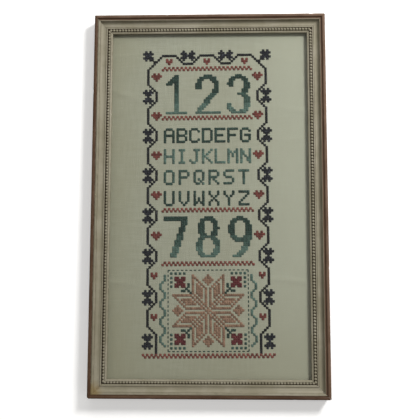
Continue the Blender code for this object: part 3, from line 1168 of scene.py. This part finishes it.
class SAMPLER_OT_glass(bpy.types.Operator):
    """Give the glass pane its clear finish"""

    bl_idname = "sampler.glass"
    bl_label = "Glass"

    def execute(self, context):
        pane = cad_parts["glass_pane"]
        pane.data.materials.clear()
        pane.data.materials.append(glass())
        return {"FINISHED"}


class SAMPLER_OT_linen(bpy.types.Operator):
    """Build the stretched linen and work every stitch on it"""

    bl_idname = "sampler.linen"
    bl_label = "Stitched Linen"

    def execute(self, context):
        looks = context.scene.sampler_linen
        stitches = context.scene.sampler_stitches
        linen = self.lay_linen(looks, stitches)
        pieces = self.work_chart(looks, stitches)
        return {"FINISHED"}

    def lay_linen(self, looks, stitches):
        wide, long = LINEN_HIGH.x - LINEN_LOW.x, LINEN_HIGH.y - LINEN_LOW.y
        shape = bmesh.new()
        bmesh.ops.create_grid(
            shape, x_segments=round(wide / looks.cell), y_segments=round(long / looks.cell), size=0.5
        )
        bmesh.ops.scale(shape, vec=(wide, long, 1.0), verts=shape.verts)
        for point in shape.verts:
            point.co.z = LINEN_LOW.z + looks.thickness + linen_rise(point.co.x, point.co.y, looks)
        bmesh.ops.recalc_face_normals(shape, faces=shape.faces)
        if sum(face.normal.z for face in shape.faces) < 0:
            bmesh.ops.reverse_faces(shape, faces=shape.faces)
        bmesh.ops.solidify(shape, geom=shape.faces[:], thickness=looks.thickness)
        bmesh.ops.recalc_face_normals(shape, faces=shape.faces)
        linen = add_piece("linen", shape, linen_cloth(looks, stitches.turn), ["sampler_cloth"])
        linen.data.shade_smooth()
        linen.data.set_sharp_from_angle(angle=radians(40))
        return linen

    def work_chart(self, linen_looks, looks):
        cloth_top = LINEN_LOW.z + linen_looks.thickness
        chance = random.Random(looks.seed)
        diagonal = looks.pitch * sqrt(2) * 1.06
        wide, thick = looks.thread_width, looks.thread_thickness
        under = leg_mesh(diagonal, wide, thick, 0.00004, "under_leg")
        over = leg_mesh(diagonal, wide, thick, 0.00020, "over_leg")
        straight = leg_mesh(looks.pitch * 1.25, wide * 0.7, thick, 0.00006, "back_leg")
        turn = Matrix.Rotation(looks.turn, 2)

        def place(column, row):
            """Where a cell's middle lies on the linen."""
            flat = Vector(((column - MIDDLE_COLUMN) * looks.pitch, (MIDDLE_ROW - row) * looks.pitch))
            flat = turn @ flat
            return flat.x + looks.middle_x, flat.y + looks.middle_y

        legs = {}
        for (column, row), name in sorted(whole_chart().items(), key=lambda cell: (cell[0][1], cell[0][0])):
            x, y = place(column, row)
            for mesh, angle in ((under, pi / 4), (over, -pi / 4)):
                legs.setdefault(name, []).append(
                    Leg(
                        mesh,
                        x + chance.gauss(0, LEG_STRAY),
                        y + chance.gauss(0, LEG_STRAY),
                        looks.turn + angle + chance.gauss(0, LEG_TURN_STRAY),
                        chance.uniform(*LEG_WIDTHS),
                    )
                )
        pieces = []
        for name, run in legs.items():
            material = floss(name, tuple(getattr(looks, name)))
            pieces.append(lay_legs("stitches_" + name, run, material, cloth_top, linen_looks, chance))

        # The dashed outline round the star block, in straight stitches
        middle_column, middle_row = BLOCK_MIDDLE
        dashes = []
        half = BLOCK_HALF + 0.5
        for step in range(-BLOCK_HALF, BLOCK_HALF + 1, 2):
            for side in (-half, half):
                for column, row, angle in ((step, side, 0.0), (side, step, pi / 2)):
                    x, y = place(middle_column + column, middle_row + row)
                    slant = looks.turn + angle + chance.gauss(0, DASH_TURN_STRAY)
                    dashes.append(Leg(straight, x, y, slant, 1.0))
        material = floss("backstitch", tuple(looks.pine))
        pieces.append(lay_legs("backstitch_pine", dashes, material, cloth_top, linen_looks, chance))
        for mesh in (under, over, straight):
            bpy.data.meshes.remove(mesh)
        return pieces


class SAMPLER_OT_backing(bpy.types.Operator):
    """Give the backing board its hardboard finish"""

    bl_idname = "sampler.backing"
    bl_label = "Backing Board"

    def execute(self, context):
        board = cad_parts["backing_board"]
        board.data.materials.clear()
        board.data.materials.append(hardboard(context.scene.sampler_back))
        return {"FINISHED"}


Lamp = namedtuple("Lamp", "name place width power tint")

# The camera, nearly straight above, with its turns in degrees
CAMERA_PLACE = (0.02293, -0.0960, 0.75765)
CAMERA_TURN = (6.6436, 1.6776, 0.1068)


class SAMPLER_OT_stage(bpy.types.Operator):
    """Set the pale floor, the soft lights and the camera"""

    bl_idname = "sampler.stage"
    bl_label = "Stage"

    def execute(self, context):
        looks = context.scene.sampler_stage
        self.lay_floor(looks)
        for lamp in (
            Lamp("key_light", (0.64, 0.62, 0.90), 0.34, looks.key, (1.0, 0.99, 0.97)),
            Lamp("top_light", (0.1, 1.6, 1.1), 1.2, looks.top, (1.0, 1.0, 0.99)),
            Lamp("fill_left", (-1.5, -0.3, 1.2), 1.4, looks.fill, (1.0, 0.98, 0.95)),
            Lamp("fill_right", (1.5, -0.7, 1.0), 1.4, looks.fill * 0.7, (1.0, 0.99, 0.96)),
        ):
            self.hang_lamp(lamp)
        world = bpy.data.worlds.new("soft_room")
        world.use_nodes = True
        world.node_tree.nodes["Background"].inputs["Color"].default_value = (1.0, 0.98, 0.94, 1.0)
        world.node_tree.nodes["Background"].inputs["Strength"].default_value = looks.sky
        context.scene.world = world
        context.scene.view_settings.view_transform = "Standard"
        eye = bpy.data.cameras.new("camera")
        eye.sensor_width = 36.0
        eye.lens = looks.lens
        eye.clip_start = 0.01
        camera = bpy.data.objects.new("camera", eye)
        camera.location = CAMERA_PLACE
        camera.rotation_euler = [radians(angle) for angle in CAMERA_TURN]
        context.scene.collection.objects.link(camera)
        bpy.context.scene.camera = camera
        return {"FINISHED"}

    def lay_floor(self, looks):
        shape = bmesh.new()
        bmesh.ops.create_grid(shape, x_segments=1, y_segments=1, size=4.0)
        mesh = mesh_of("floor", shape)
        mesh.transform(Matrix.Translation((0, 0, -0.0002)))
        material, _, shader = new_material("pale_floor")
        settle(
            shader,
            Base_Color=(*looks.floor, 1.0),
            Roughness=0.9,
            Specular_IOR_Level=0.1,
            Emission_Color=(1.0, 1.0, 1.0, 1.0),
            Emission_Strength=looks.glow,
        )
        mesh.materials.append(material)
        floor = bpy.data.objects.new("floor", mesh)
        bpy.context.scene.collection.objects.link(floor)

    def hang_lamp(self, lamp):
        light = bpy.data.lights.new(lamp.name, "AREA")
        light.shape = "DISK"
        light.size = lamp.width
        light.energy = lamp.power
        light.color = lamp.tint
        hung = bpy.data.objects.new(lamp.name, light)
        hung.location = lamp.place
        hung.rotation_euler = (-Vector(lamp.place)).to_track_quat("-Z", "Y").to_euler()
        bpy.context.scene.collection.objects.link(hung)


class SAMPLER_PT_parts(bpy.types.Panel):
    """Lists what builds the sampler"""

    bl_label = "Sampler"
    bl_idname = "SAMPLER_PT_parts"
    bl_space_type = "VIEW_3D"
    bl_region_type = "UI"
    bl_category = "Sampler"

    def draw(self, context):
        layout = self.layout
        for owner, operators in (
            ("sampler_frame", ("sampler.frame_rails",)),
            ("sampler_linen", ("sampler.linen", "sampler.glass")),
            ("sampler_stitches", ()),
            ("sampler_back", ("sampler.backing",)),
            ("sampler_stage", ("sampler.stage",)),
        ):
            box = layout.box()
            group = getattr(context.scene, owner)
            for name in group.bl_rna.properties.keys():
                if name not in {"rna_type", "name"}:
                    box.prop(group, name)
            for operator in operators:
                box.operator(operator)


GROUPS = {
    "sampler_frame": FrameSettings,
    "sampler_linen": LinenSettings,
    "sampler_stitches": StitchSettings,
    "sampler_back": BackSettings,
    "sampler_stage": StageSettings,
}
CLASSES = (
    *GROUPS.values(),
    SAMPLER_OT_frame_rails,
    SAMPLER_OT_glass,
    SAMPLER_OT_linen,
    SAMPLER_OT_backing,
    SAMPLER_OT_stage,
    SAMPLER_PT_parts,
)


def register():
    for made in CLASSES:
        bpy.utils.register_class(made)
    for name, group in GROUPS.items():
        setattr(bpy.types.Scene, name, PointerProperty(type=group))


def unregister():
    for name in GROUPS:
        delattr(bpy.types.Scene, name)
    for made in reversed(CLASSES):
        bpy.utils.unregister_class(made)


def main():
    register()
    make_weave_group()
    make_age_group()
    make_grain_group()
    make_floss_group()
    bpy.ops.sampler.stage()
    bpy.ops.sampler.backing()
    bpy.ops.sampler.linen()
    bpy.ops.sampler.glass()
    bpy.ops.sampler.frame_rails()


if __name__ == "__main__":
    main()
